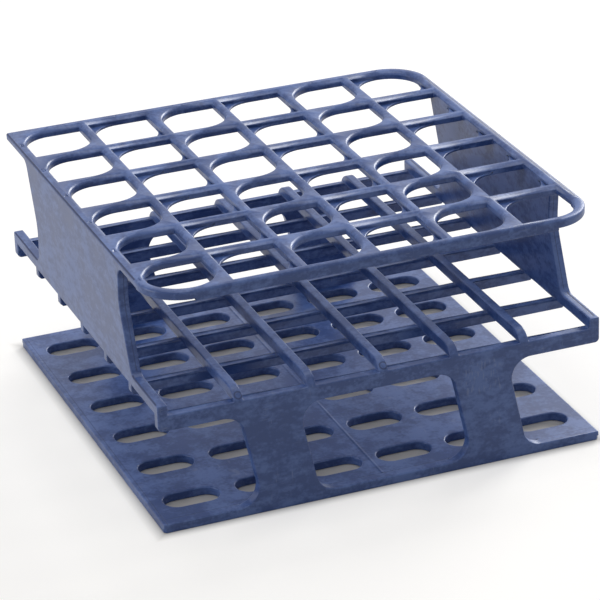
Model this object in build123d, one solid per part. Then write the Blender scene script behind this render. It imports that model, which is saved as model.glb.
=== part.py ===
from build123d import *
import os

# Test tube rack, six by six places, injection moulded in one piece.
# The origin is at the centre of the footprint, on the table.
# X runs left to right along the front, Y runs from front to back, Z is up.

# Places
places = 6
pitch = 20.1

# Body
margin = 1.8
height = 66.6
panel_thickness = 2.8

# Top grid
rib_width = 2.6
grid_depth = 2.4
side_rim_depth = 2.0
lip_depth = 3.0
lip_thickness = 1.2
rib_bevel = 0.75
rim_edge_break = 0.4
gusset_radius = 8.7
web_thickness = 0.7

# Middle tier
split_height = 33.4
tier_rib_width = 2.5
upper_rib_height = 3.0
lower_rib_height = 2.8
nose_length = 4.8
stub_chamfer = 0.8
bar_height = 3.0
band_height = 4.3
band_end_round = 1.25

# Side walls, half widths of the two ends and of the waist between them
wall_narrow_end = 36.8
wall_waist = 35.8
wall_flared_end = 43.2
wall_shift = 1.0
waist_share = 0.62
waist_round_share = 0.5
wall_root_round = 3.0

# Legs of the front and back panels
leg_offset = 29.7
leg_width = 15.9
leg_lean = 0.21
leg_root_round = 5.5

# Base plate
base_thickness = 2.5
base_corner_chamfer = 0.7
slot_length = 15.4
slot_width = 7.8
witness_width = 0.5
witness_height = 0.15

# Derived sizes
half = places * pitch / 2 + margin
inner_half = half - panel_thickness
corner_radius = margin + pitch / 2
inner_corner_radius = corner_radius - panel_thickness
corner_centre = half - corner_radius
bar_top = split_height + bar_height
band_bottom = split_height - band_height
grid_bottom = height - grid_depth
side_rim_bottom = height - side_rim_depth
lines = [(i - places / 2) * pitch for i in range(places + 1)]
inner_lines = lines[1:-1]
centres = [(i - (places - 1) / 2) * pitch for i in range(places)]


def block(x_range, y_range, z_range):
    """Box between two X, two Y and two Z values."""
    size = [high - low for low, high in (x_range, y_range, z_range)]
    middle = [(high + low) / 2 for low, high in (x_range, y_range, z_range)]
    return Pos(*middle) * Box(*size)


def polygon(points):
    """Face with straight edges through the points."""
    return Face(Wire.make_polygon(points, close=True))


def rounded_polygon(points, radii):
    """Face through the points, each corner rounded by its own radius, 0 for a sharp one."""
    face = polygon(points)
    for point, radius in zip(points, radii):
        if radius > 0:
            corner = face.vertices().sort_by_distance(Vector(*point))[0]
            face = fillet(corner, radius).face()
    return face


def rounded_rectangle(x_range, y_range, radii):
    """Face with radii for the front left, front right, back right and back left corners."""
    x0, x1 = x_range
    y0, y1 = y_range
    return rounded_polygon([(x0, y0), (x1, y0), (x1, y1), (x0, y1)], radii)


def prism(face, bottom, top):
    """Upright prism on a face drawn in the XY plane."""
    return extrude(Pos(0, 0, bottom) * face, top - bottom)


def cell_range(index):
    """Both sides of the opening of one row or column of cells."""
    low = lines[index] + rib_width / 2 if index > 0 else -inner_half
    high = lines[index + 1] - rib_width / 2 if index < places - 1 else inner_half
    return low, high


# Top grid: three rounded corners and a square one at the back left, to tell the rack's sides apart
rim_radii = [corner_radius, corner_radius, corner_radius, 0]
rim_face = rounded_rectangle((-half, half), (-half, half), rim_radii)
cells = []
webs = []
last = places - 1
for column in range(places):
    for row in range(places):
        x_range = cell_range(column)
        y_range = cell_range(row)
        radii = [0, 0, 0, 0]
        # Every other column has full depth gussets in two opposite corners of its cells
        if column % 2 == 0:
            radii = [0, gusset_radius, 0, gusset_radius]
        # The cells under the rounded corners of the rim follow them
        if (column, row) == (0, 0):
            radii[0] = inner_corner_radius
        if (column, row) == (last, 0):
            radii[1] = inner_corner_radius
        if (column, row) == (last, last):
            radii[2] = inner_corner_radius
        cells.append(prism(rounded_rectangle(x_range, y_range, radii), grid_bottom - 1, height + 1))
        # The columns between have thin webs of the same outline at the bottom of the ribs
        if column % 2 == 1:
            square = rounded_rectangle(x_range, y_range, [0, 0, 0, 0])
            round_front = 0 if (column, row) == (last, 0) else gusset_radius
            opening = rounded_rectangle(x_range, y_range, [0, round_front, 0, gusset_radius])
            corners = (square - opening).faces()
            webs += [prism(web, grid_bottom, grid_bottom + web_thickness) for web in corners]

grid = prism(rim_face, grid_bottom, height) - cells
top_face = grid.faces().sort_by(Axis.Z)[-1]
cell_edges = [edge for wire in top_face.inner_wires() for edge in wire.edges()]
grid = chamfer(cell_edges, rib_bevel)
top_face = grid.faces().sort_by(Axis.Z)[-1]
grid = chamfer(top_face.outer_wire().edges(), rim_edge_break)

# Lip hanging from the straight part of the rim along the front and the back
lip_inner = half - lip_thickness
lip_z = (height - lip_depth, grid_bottom)
lip_x = (-corner_centre, corner_centre)
lips = [block(lip_x, y_range, lip_z) for y_range in ((-half, -lip_inner), (lip_inner, half))]
grid = grid + webs + lips

# Shallower rim along both sides, as far as the square corner on the left
for x_range, y_high in (((-half - 1, -inner_half), half + 1), ((inner_half, half + 1), corner_centre)):
    grid -= block(x_range, (-corner_centre, y_high), (0, side_rim_bottom))

# Side wall, its bottom bar and its root in the rim, drawn in the YZ plane
wall_height = side_rim_bottom - bar_top
waist_rise = waist_share * wall_height
waist_round = waist_round_share * wall_height
flange = (side_rim_bottom + height) / 2


def wall_outline(shift):
    """Outline of one side wall, its front edge flared at the foot and its back edge at the top."""
    points = [
        (-half, split_height),
        (half, split_height),
        (half, bar_top),
        (shift + wall_narrow_end, bar_top),
        (shift + wall_waist, side_rim_bottom - waist_rise),
        (shift + wall_flared_end, side_rim_bottom),
        (corner_centre, side_rim_bottom),
        (corner_centre, flange),
        (-corner_centre, flange),
        (-corner_centre, side_rim_bottom),
        (shift - wall_narrow_end, side_rim_bottom),
        (shift - wall_waist, bar_top + waist_rise),
        (shift - wall_flared_end, bar_top),
        (-half, bar_top),
    ]
    edge_radii = [wall_root_round, waist_round, wall_root_round]
    return rounded_polygon(points, [0, 0, 0, *edge_radii, 0, 0, 0, 0, *edge_radii, 0])


# The left wall stands a little towards the back, the right one as much towards the front
walls = [
    extrude(Plane.YZ.offset(x) * wall_outline(shift), panel_thickness)
    for x, shift in ((-half, wall_shift), (inner_half, -wall_shift))
]

# Middle tier: round nosed ribs from front to back, crossed underneath by ribs from side to side
upper_rib_top = split_height + upper_rib_height
nose_radius = (nose_length**2 + upper_rib_height**2) / (2 * upper_rib_height)
nose_start = half - nose_length
upper_outline = [
    Line((-half, split_height), (half, split_height)),
    TangentArc((nose_start, upper_rib_top), (half, split_height), tangent=(1, 0)),
    Line((-nose_start, upper_rib_top), (nose_start, upper_rib_top)),
    TangentArc((-nose_start, upper_rib_top), (-half, split_height), tangent=(-1, 0)),
]
upper_face = make_face(upper_outline)
upper_ribs = [
    extrude(Plane.YZ.offset(x - tier_rib_width / 2) * upper_face, tier_rib_width) for x in inner_lines
]
lower_bottom = split_height - lower_rib_height
lower_points = [
    (-half, split_height),
    (-half, lower_bottom + stub_chamfer),
    (-half + stub_chamfer, lower_bottom),
    (half - stub_chamfer, lower_bottom),
    (half, lower_bottom + stub_chamfer),
    (half, split_height),
]
lower_face = polygon(lower_points)
lower_ribs = [
    extrude(Plane.XZ.offset(-y - tier_rib_width / 2) * lower_face, tier_rib_width) for y in inner_lines
]

# Front and back panels: a band across, on two leaning legs with openings between and beside them
panel_middle = (split_height + base_thickness) / 2
top_shift = -leg_lean * (band_bottom - panel_middle)
foot_shift = leg_lean * (panel_middle - base_thickness)
outside = half + 3 * leg_root_round
panel_foot = base_thickness / 2
panel_face = polygon([(-half, panel_foot), (half, panel_foot), (half, split_height), (-half, split_height)])
inner_edge = leg_offset - leg_width / 2
outer_edge = leg_offset + leg_width / 2
for left, right in ((-outside, -outer_edge), (-inner_edge, inner_edge), (outer_edge, outside)):
    opening_points = [
        (left + foot_shift, base_thickness),
        (right + foot_shift, base_thickness),
        (right + top_shift, band_bottom),
        (left + top_shift, band_bottom),
    ]
    panel_face -= rounded_polygon(opening_points, [leg_root_round] * 4)
for x in (-half, half):
    corner = panel_face.vertices().sort_by_distance(Vector(x, band_bottom))[0]
    panel_face = fillet(corner, band_end_round)
panels = [extrude(Plane.XZ.offset(-y) * panel_face, -panel_thickness) for y in (-half, inner_half)]

# Base plate with one slot under each place
base = block((-half, half), (-half, half), (0, base_thickness))
base = chamfer(base.edges().filter_by(Axis.Z), base_corner_chamfer)
slots = [
    Pos(x, y, base_thickness / 2) * extrude(SlotOverall(slot_length, slot_width), base_thickness, both=True)
    for x in centres
    for y in centres
]
base -= slots
base += block(
    (-witness_width / 2, witness_width / 2), (-inner_half, inner_half), (0, base_thickness + witness_height)
)

rack = grid + walls + upper_ribs + lower_ribs + panels + base
rack = rack.solids().sort_by(SortBy.VOLUME)[-1]

os.makedirs("parts", exist_ok=True)
export_step(rack, "parts/tube_rack.step")
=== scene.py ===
import math

import bmesh
import bpy
from bpy.props import FloatProperty, FloatVectorProperty, PointerProperty
from mathutils import Matrix, Vector


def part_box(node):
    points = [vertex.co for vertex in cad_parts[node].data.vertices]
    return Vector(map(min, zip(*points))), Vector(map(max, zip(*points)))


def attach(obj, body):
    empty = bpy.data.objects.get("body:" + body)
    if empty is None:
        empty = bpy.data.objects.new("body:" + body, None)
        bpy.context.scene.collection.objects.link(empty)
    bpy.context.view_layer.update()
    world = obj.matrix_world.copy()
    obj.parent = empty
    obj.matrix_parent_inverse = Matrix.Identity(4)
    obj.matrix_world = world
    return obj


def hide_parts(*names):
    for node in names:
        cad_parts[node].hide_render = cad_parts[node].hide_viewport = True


bl_info = {
    "name": "Test Tube Rack",
    "version": (1, 0, 0),
    "blender": (4, 5, 0),
    "location": "3D View > Sidebar > Rack",
    "description": "Dresses a one-piece moulded test tube rack",
    "category": "Object",
}

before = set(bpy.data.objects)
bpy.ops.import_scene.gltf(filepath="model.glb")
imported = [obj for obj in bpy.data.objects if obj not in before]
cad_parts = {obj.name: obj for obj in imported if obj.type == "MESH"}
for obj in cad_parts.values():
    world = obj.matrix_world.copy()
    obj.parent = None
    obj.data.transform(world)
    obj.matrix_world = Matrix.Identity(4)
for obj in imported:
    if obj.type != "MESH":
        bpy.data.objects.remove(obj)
low, high = (Vector(corner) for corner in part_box("tube_rack"))

# Sizes of the moulding that the dressing follows, in metres
places = 6
pitch = 0.0201
panel = 0.0028
split_height = 0.0334
bar_top = 0.0364
base_top = 0.0025
rim_flat_inset = 0.0004
rim_flat_width = 0.0017
centres = [(i - (places - 1) / 2) * pitch for i in range(places)]
lines = [(i - places / 2) * pitch for i in range(places + 1)]


class Maths:
    """Wraps a shader socket so that node maths reads as an expression."""

    def __init__(self, tree, socket):
        self.tree = tree
        self.socket = socket

    def node(self, kind, inputs=(), output=0, **settings):
        """Adds any node, sets its settings and inputs, and wraps one of its outputs."""
        made = self.tree.nodes.new(kind)
        for name, value in settings.items():
            setattr(made, name, value)
        for key, value in dict(inputs).items():
            if isinstance(value, Maths):
                self.tree.links.new(value.socket, made.inputs[key])
            else:
                made.inputs[key].default_value = value
        return Maths(self.tree, made.outputs[output])

    def _math(self, operation, *values):
        return self.node("ShaderNodeMath", dict(enumerate(values)), operation=operation)

    def __add__(self, other):
        return self._math("ADD", self, other)

    def __radd__(self, other):
        return self._math("ADD", other, self)

    def __sub__(self, other):
        return self._math("SUBTRACT", self, other)

    def __rsub__(self, other):
        return self._math("SUBTRACT", other, self)

    def __mul__(self, other):
        return self._math("MULTIPLY", self, other)

    def __rmul__(self, other):
        return self._math("MULTIPLY", other, self)

    def __truediv__(self, other):
        return self._math("DIVIDE", self, other)

    def __abs__(self):
        return self._math("ABSOLUTE", self)

    def either(self, other):
        """The larger of two masks."""
        return self._math("MAXIMUM", self, other)

    def ramp(self, start, end):
        """0 below start, 1 above end, smooth between."""
        return self.node("ShaderNodeMapRange", {0: self, 1: start, 2: end}, interpolation_type="SMOOTHSTEP")

    def near(self, place, reach, soft):
        """1 within reach of a place, fading to 0 over the soft distance."""
        return 1.0 - abs(self - place).ramp(reach, reach + soft)

    def within(self, start, end, soft=0.0002):
        """1 between two values."""
        return self.near((start + end) / 2, (end - start) / 2, soft)


def object_place(tree):
    """Object coordinates, and their X, Y and Z."""
    where = Maths(tree, None).node("ShaderNodeTexCoord", output="Object")
    split = [where.node("ShaderNodeSeparateXYZ", {0: where}, output=axis) for axis in range(3)]
    return where, *split


def noise(where, scale, detail=2.0, roughness=0.5):
    """Plain noise pattern."""
    return where.node("ShaderNodeTexNoise", {"Vector": where, "Scale": scale, "Detail": detail, "Roughness": roughness})


def stretched(where, scale, turn):
    """Coordinates drawn out along one way, for streaks and scratches."""
    return where.node("ShaderNodeMapping", {"Vector": where, "Scale": scale, "Rotation": turn})


class RackSettings(bpy.types.PropertyGroup):
    """Sizes and colours of the rack and its stage."""

    edge_round: FloatProperty(
        name="Edge round", description="Width of the rounded moulded edges", default=0.00035, unit="LENGTH"
    )
    digit_depth: FloatProperty(
        name="Digit depth", description="Depth of the engraved place numbers", default=0.00018, unit="LENGTH"
    )
    plastic: FloatVectorProperty(
        name="Plastic", description="Main colour of the plastic", default=(0.018, 0.051, 0.188), size=3, subtype="COLOR"
    )
    cloud: FloatVectorProperty(
        name="Cloud", description="Colour of the paler clouds in it", default=(0.068, 0.124, 0.325), size=3, subtype="COLOR"
    )
    # Also used for the painted highlight line beside the groove along the right bar.
    chalk: FloatVectorProperty(
        name="Chalk", description="Colour of the chalky scratches", default=(0.16, 0.20, 0.33), size=3, subtype="COLOR"
    )
    # Painted shade: the dark colour put into the fine mould grooves, standing in for the shade inside them.
    line: FloatVectorProperty(
        name="Line", description="Colour in the fine mould lines", default=(0.010, 0.020, 0.075), size=3, subtype="COLOR"
    )
    floor: FloatVectorProperty(
        name="Floor", description="Colour of the floor", default=(0.50, 0.487, 0.468), size=3, subtype="COLOR"
    )
    floor_glow: FloatProperty(name="Floor glow", description="Light that the floor adds for the camera", default=0.54)
    daylight: FloatProperty(name="Daylight", description="Even light from all round", default=0.42)
    key_power: FloatProperty(name="Key power", description="Power of the large softbox at the back", default=13.0, unit="POWER")
    top_power: FloatProperty(name="Top power", description="Power of the overhead softbox", default=5.0, unit="POWER")
    side_power: FloatProperty(name="Side power", description="Power of the low softbox on the left", default=4.5, unit="POWER")
    lens: FloatProperty(name="Lens", description="Focal length in millimetres", default=188.454)


def rack_settings():
    return bpy.context.scene.rack_settings


def mould_lines(x, y, z):
    """Mask of the painted shade along the fine grooves that the parts of the mould left on the body: the dark colour
    stands in for the shade inside them.
    """
    hair = 0.0001
    soft = 0.00012
    left_edge = x.near(low.x + 0.0002, hair, soft)
    straight = y.within(-0.049, high.y)
    on_rim = z.within(high.z - 0.0006, high.z + 0.001)
    on_bar = z.within(bar_top - 0.0003, bar_top + 0.0003) * (1.0 - abs(y).ramp(0.0605, 0.0612))
    mask = left_edge * (straight * on_rim).either(on_bar)
    right_edge = x.near(high.x - 0.001, hair * 1.8, soft)
    mask = mask.either(right_edge * (on_rim * y.within(-0.049, 0.049)).either(on_bar))
    edge_middle = abs(x).near(high.x - 0.0016, hair * 0.6, soft)
    wall_edge = z.within(bar_top + 0.001, high.z - 0.003) * abs(y).within(0.034, 0.044)
    mask = mask.either(edge_middle * wall_edge * 0.6)
    on_base = z.within(base_top - 0.0001, base_top + 0.0004)
    front_strip = abs(y).near(high.y - panel, hair, soft)
    side_strip = x.near(low.x + 0.0011, hair, soft)
    return mask.either(on_base * front_strip.either(side_strip) * 0.4)


def ring_marks(where):
    """Mask of the ring marks on the noses of the first and the third rib of the middle tier."""
    mask = 0.0
    for number in (1, 3):
        centre = (lines[number] + 0.0002, low.y + 0.0007, bar_top - 0.0014)
        gap = where.node("ShaderNodeVectorMath", {0: where, 1: centre}, output=1, operation="DISTANCE")
        ring = gap.near(0.00105, 0.0001, 0.0002)
        mask = ring if number == 1 else mask.either(ring)
    return mask


def scuffs(where, x, y, z):
    """Mask of the pale scratches, densest on the front legs."""
    along = noise(stretched(where, (1.0, 1.0, 9.0), (0.3, 0.9, 0.2)), 260.0, 1.0)
    across = noise(stretched(where, (9.0, 1.0, 1.0), (0.2, 0.5, 0.1)), 260.0, 1.0)
    patch = noise(where, 70.0, 1.0).ramp(0.48, 0.66)
    hairs = along.ramp(0.66, 0.74).either(across.ramp(0.67, 0.75))
    on_leg = x.within(0.0235, 0.0325, 0.002) * z.within(0.0225, 0.030, 0.002)
    on_leg = on_leg.either(x.within(0.0305, 0.0325, 0.001) * z.within(0.0120, 0.0145, 0.001))
    front = 1.0 - y.ramp(low.y + 0.0004, low.y + 0.0010)
    scribble = noise(stretched(where, (4.0, 1.0, 1.0), (0.0, 0.7, 0.0)), 420.0, 2.0, 0.6).ramp(0.52, 0.66) * 0.6
    return (hairs * patch * 0.5).either(on_leg * front * scribble)


def plastic_material(settings):
    """Cloudy slate blue polypropylene with a satin skin, mould grooves whose shade is painted dark, scratches, and a
    painted highlight line beside the groove on the right bar.
    """
    material = bpy.data.materials.new("rack_plastic")
    material.use_nodes = True
    tree = material.node_tree
    shader = tree.nodes["Principled BSDF"]
    where, x, y, z = object_place(tree)
    wide = noise(where, 62.0, 3.0, 0.6)
    middling = noise(stretched(where, (1.0, 1.0, 2.2), (0.5, 0.2, 0.0)), 210.0, 3.0, 0.65)
    fine = noise(where, 1100.0, 2.0)
    cloud = (wide * 0.40 + middling * 0.42 + fine * 0.18).ramp(0.43, 0.59)
    scratch_and_highlight = scuffs(where, x, y, z)
    # Mask of painted shade: the mould grooves and the ring marks, which the bump below also sinks a little.
    dark = mould_lines(x, y, z).either(ring_marks(where) * 0.8)

    def blend(amount, first, second):
        return where.node(
            "ShaderNodeMix", {"Factor": amount, "A": first, "B": second}, output=2, data_type="RGBA"
        )

    colour = blend(cloud, (*settings.plastic, 1.0), (*settings.cloud, 1.0))
    # Painted highlight: a pale line beside the groove along the right bar, laid in with the chalky scratches.
    painted_highlight_line = x.near(high.x - 0.0018, 0.00012, 0.00012) * z.within(bar_top - 0.0003, bar_top + 0.0003)
    scratch_and_highlight = scratch_and_highlight.either(painted_highlight_line * (1.0 - abs(y).ramp(0.0605, 0.0612)) * 0.8)
    colour = blend(scratch_and_highlight * 0.75, colour, (*settings.chalk, 1.0))
    # Painted shade: the mould grooves and ring marks get the dark line colour.
    colour = blend(dark * 0.9, colour, (*settings.line, 1.0))
    tree.links.new(colour.socket, shader.inputs["Base Color"])
    rough = 0.28 + 0.16 * wide + 0.15 * scratch_and_highlight + 0.2 * dark
    tree.links.new(rough.socket, shader.inputs["Roughness"])
    shader.inputs["IOR"].default_value = 1.5
    height = wide * 0.5 + middling * 0.25 + fine * 0.05 - dark * 0.6 + scratch_and_highlight * 0.05
    bump = where.node("ShaderNodeBump", {"Height": height, "Strength": 0.25, "Distance": 0.0004})
    tree.links.new(bump.socket, shader.inputs["Normal"])
    return material


def floor_material(settings):
    """Pale floor, with a little light of its own for the camera and for reflections, but not under the rack."""
    material = bpy.data.materials.new("floor")
    material.use_nodes = True
    tree = material.node_tree
    shader = tree.nodes["Principled BSDF"]
    shader.inputs["Base Color"].default_value = (*settings.floor, 1.0)
    shader.inputs["Roughness"].default_value = 0.9
    shader.inputs["Specular IOR Level"].default_value = 0.0
    where, x, y, z = object_place(tree)
    beside = abs(x).ramp(high.x - 0.002, high.x + 0.004).either(abs(y).ramp(high.y - 0.002, high.y + 0.004))
    seen = where.node("ShaderNodeLightPath", output="Is Camera Ray")
    seen = seen.either(where.node("ShaderNodeLightPath", output="Is Glossy Ray"))
    seen = seen.either(where.node("ShaderNodeLightPath", output="Is Transmission Ray"))
    glow = seen * beside
    white = where.node("ShaderNodeMix", {"Factor": glow, "A": (0.0, 0.0, 0.0, 1.0), "B": (1.0, 1.0, 1.0, 1.0)}, output=2, data_type="RGBA")
    tree.links.new(white.socket, shader.inputs["Emission Color"])
    shader.inputs["Emission Strength"].default_value = settings.floor_glow
    return material


def link_mesh(name, bm):
    """Makes an object of a bmesh and puts it in the scene."""
    mesh = bpy.data.meshes.new(name)
    bm.to_mesh(mesh)
    bm.free()
    made = bpy.data.objects.new(name, mesh)
    bpy.context.scene.collection.objects.link(made)
    return made


def add_digit(bm, number, place, size, depth):
    """Adds a solid digit to a bmesh, reaching down from the rim's top, read from the front."""
    curve = bpy.data.curves.new("digit", "FONT")
    curve.body = str(number)
    curve.align_x = "CENTER"
    curve.align_y = "CENTER"
    curve.resolution_u = 3
    curve.extrude = 0.5
    sign = bpy.data.objects.new("digit", curve)
    bpy.context.scene.collection.objects.link(sign)
    bpy.context.view_layer.update()
    mesh = bpy.data.meshes.new_from_object(sign.evaluated_get(bpy.context.evaluated_depsgraph_get()))
    bpy.data.objects.remove(sign)
    shape = bmesh.new()
    shape.from_mesh(mesh)
    corners = [vert.co for vert in shape.verts]
    least = Vector([min(corner[axis] for corner in corners) for axis in range(3)])
    most = Vector([max(corner[axis] for corner in corners) for axis in range(3)])
    middle = (least + most) / 2
    bmesh.ops.translate(shape, verts=shape.verts, vec=-middle)
    scale = Vector((size[1] * 0.62 / 0.7, size[1] / (most.y - least.y), 2 * depth))
    scale.x = min(size[0] / (most.x - least.x), size[1] / (most.y - least.y))
    bmesh.ops.scale(shape, verts=shape.verts, vec=scale)
    bmesh.ops.translate(shape, verts=shape.verts, vec=place)
    shape.to_mesh(mesh)
    shape.free()
    bm.from_mesh(mesh)
    bpy.data.meshes.remove(mesh)


def digit_cutter(settings):
    """All the place numbers: one to six along the left rim and along the back rim."""
    bm = bmesh.new()
    inset = rim_flat_inset + rim_flat_width / 2
    for number, centre in enumerate(centres, start=1):
        add_digit(bm, number, (low.x + inset, centre + 0.0006, high.z), (0.00115, 0.0021), settings.digit_depth)
        add_digit(bm, number, (centre, high.y - inset, high.z), (0.0010, 0.00115), settings.digit_depth)
    bmesh.ops.remove_doubles(bm, verts=bm.verts, dist=0.000001)
    bmesh.ops.recalc_face_normals(bm, faces=bm.faces)
    return link_mesh("digit_cutter", bm)


def engrave(body, cutter):
    """Cuts one mesh out of another and throws the cutter away."""
    cut = body.modifiers.new("digits", "BOOLEAN")
    cut.operation = "DIFFERENCE"
    cut.solver = "EXACT"
    cut.object = cutter
    bpy.context.view_layer.update()
    mesh = bpy.data.meshes.new_from_object(body.evaluated_get(bpy.context.evaluated_depsgraph_get()))
    body.modifiers.clear()
    body.data = mesh
    bpy.data.objects.remove(cutter)


def is_small_relief(face):
    """True for the walls of the digits and the sides of the ridge along the base."""
    centre = face.calc_center_median()
    in_digit = centre.z > high.z - 0.00019 and abs(face.normal.z) < 0.2
    floor_of_digit = high.z - 0.0003 < centre.z < high.z - 0.0001 and face.normal.z > 0.9
    on_ridge = abs(centre.x) < 0.0003 and base_top < centre.z < base_top + 0.0002
    return in_digit or floor_of_digit or on_ridge


def is_rounded(edge):
    """True for the square outside edges of the moulding, which the mould rounds off."""
    if not edge.is_manifold or not edge.is_convex or edge.calc_face_angle() < math.radians(60):
        return False
    return not any(is_small_relief(face) for face in edge.link_faces)


def smooth_groups(bm):
    """The faces that run on into one another, group by group."""
    groups = []
    seen = set()
    for first in bm.faces:
        if first in seen:
            continue
        seen.add(first)
        group = [first]
        for face in group:
            for edge in face.edges:
                if edge.is_manifold and edge.calc_face_angle() < math.radians(30):
                    for other in edge.link_faces:
                        if other not in seen:
                            seen.add(other)
                            group.append(other)
        groups.append(group)
    return groups


def hold_edges(bm, width):
    """Puts a strip of faces beside each edge that gets rounded, narrower where a face is narrow."""
    hold = bm.faces.layers.float.new("hold")
    for group in smooth_groups(bm):
        faces = set(group)
        border = [edge for face in group for edge in face.edges if not faces.issuperset(edge.link_faces)]
        area = sum(face.calc_area() for face in group)
        around = sum(edge.calc_length() for edge in border)
        room = min(width, 0.7 * area / around) if around else width
        if any(is_rounded(edge) for edge in border):
            group += bmesh.ops.inset_region(
                bm, faces=group, thickness=room, depth=0.0, use_even_offset=False, use_boundary=True
            )["faces"]
        for face in group:
            face[hold] = room
    bm.normal_update()
    weight = bm.edges.layers.float.new("bevel_weight_edge")
    for edge in bm.edges:
        edge[weight] = min(face[hold] for face in edge.link_faces) / width if is_rounded(edge) else 0.0
    bm.faces.layers.float.remove(hold)


class RACK_OT_body(bpy.types.Operator):
    """Dresses the moulded body with rounded edges and engraved place numbers"""

    bl_idname = "rack.body"
    bl_label = "Rack body"

    def execute(self, context):
        settings = rack_settings()
        bm = bmesh.new()
        bm.from_mesh(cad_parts["tube_rack"].data)
        bmesh.ops.remove_doubles(bm, verts=bm.verts, dist=0.00001)
        body = link_mesh("rack_body", bm)
        engrave(body, digit_cutter(settings))

        bm = bmesh.new()
        bm.from_mesh(body.data)
        bmesh.ops.dissolve_limit(
            bm, angle_limit=math.radians(0.5), use_dissolve_boundaries=False, verts=bm.verts, edges=bm.edges
        )
        bmesh.ops.holes_fill(bm, edges=[edge for edge in bm.edges if edge.is_boundary], sides=0)
        bmesh.ops.connect_verts_concave(bm, faces=bm.faces)
        hold_edges(bm, settings.edge_round * 1.6)
        for face in bm.faces:
            face.smooth = True
        bm.to_mesh(body.data)
        bm.free()

        bevel = body.modifiers.new("edges", "BEVEL")
        bevel.width = settings.edge_round
        bevel.segments = 3
        bevel.limit_method = "WEIGHT"
        bevel.use_clamp_overlap = False
        bevel.miter_outer = "MITER_ARC"
        weighted = body.modifiers.new("normals", "WEIGHTED_NORMAL")
        weighted.mode = "FACE_AREA_WITH_ANGLE"
        weighted.weight = 80
        body.data.materials.clear()
        body.data.materials.append(plastic_material(settings))
        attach(body, "root")
        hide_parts("tube_rack")
        return {"FINISHED"}


class RACK_OT_stage(bpy.types.Operator):
    """Sets the floor, the lights, the backdrop and the camera"""

    bl_idname = "rack.stage"
    bl_label = "Stage"

    def execute(self, context):
        settings = rack_settings()
        scene = context.scene
        bm = bmesh.new()
        bmesh.ops.create_grid(bm, x_segments=1, y_segments=1, size=4.0)
        floor = link_mesh("floor", bm)
        floor.data.materials.append(floor_material(settings))

        world = bpy.data.worlds.new("studio")
        world.use_nodes = True
        scene.world = world
        tree = world.node_tree
        sky = tree.nodes["Background"]
        start = Maths(tree, None)
        seen = start.node("ShaderNodeLightPath", output="Is Camera Ray")
        seen = seen.either(start.node("ShaderNodeLightPath", output="Is Glossy Ray"))
        seen = seen.either(start.node("ShaderNodeLightPath", output="Is Transmission Ray"))
        level = seen * (1.0 - settings.daylight) + settings.daylight
        sky.inputs["Color"].default_value = (1.0, 1.0, 1.0, 1.0)
        tree.links.new(level.socket, sky.inputs["Strength"])

        def softbox(name, place, size, power):
            light = bpy.data.lights.new(name, "AREA")
            light.energy = power
            light.size = size
            lamp = bpy.data.objects.new(name, light)
            lamp.location = place
            lamp.rotation_mode = "QUATERNION"
            lamp.rotation_quaternion = (-Vector(place)).to_track_quat("-Z", "Y")
            scene.collection.objects.link(lamp)

        softbox("key", (0.95, 0.75, 0.62), 0.6, settings.key_power)
        softbox("top", (0.0, 0.1, 1.3), 0.8, settings.top_power)
        softbox("side", (-1.3, 0.1, 0.30), 0.6, settings.side_power)

        camera = bpy.data.cameras.new("camera")
        camera.lens = settings.lens
        camera.sensor_width = 36.0
        camera.clip_start = 0.01
        camera.clip_end = 50.0
        eye = bpy.data.objects.new("camera", camera)
        scene.collection.objects.link(eye)
        scene.camera = eye
        back = Vector((-0.322355, -0.849806, 0.417034))
        up = Vector((0.182090, 0.376658, 0.908280))
        right = up.cross(back)
        eye.matrix_world = Matrix.Translation((-0.27892, -0.73803, 0.39005)) @ Matrix(
            (right, up, back)
        ).transposed().to_4x4()
        scene.view_settings.view_transform = "Standard"
        return {"FINISHED"}


class RACK_PT_panel(bpy.types.Panel):
    """Panel with the rack's sizes, colours and operators"""

    bl_label = "Test tube rack"
    bl_space_type = "VIEW_3D"
    bl_region_type = "UI"
    bl_category = "Rack"

    def draw(self, context):
        settings = rack_settings()
        for name in settings.bl_rna.properties.keys():
            if name not in {"rna_type", "name"}:
                self.layout.prop(settings, name)
        for operator in OPERATORS:
            self.layout.operator(operator.bl_idname)


OPERATORS = (RACK_OT_body, RACK_OT_stage)
CLASSES = (RackSettings, *OPERATORS, RACK_PT_panel)


def register():
    for cls in CLASSES:
        bpy.utils.register_class(cls)
    bpy.types.Scene.rack_settings = PointerProperty(type=RackSettings)


def unregister():
    del bpy.types.Scene.rack_settings
    for cls in reversed(CLASSES):
        bpy.utils.unregister_class(cls)


def main():
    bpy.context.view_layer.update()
    register()
    bpy.ops.rack.body()
    bpy.ops.rack.stage()


if __name__ == "__main__":
    main()
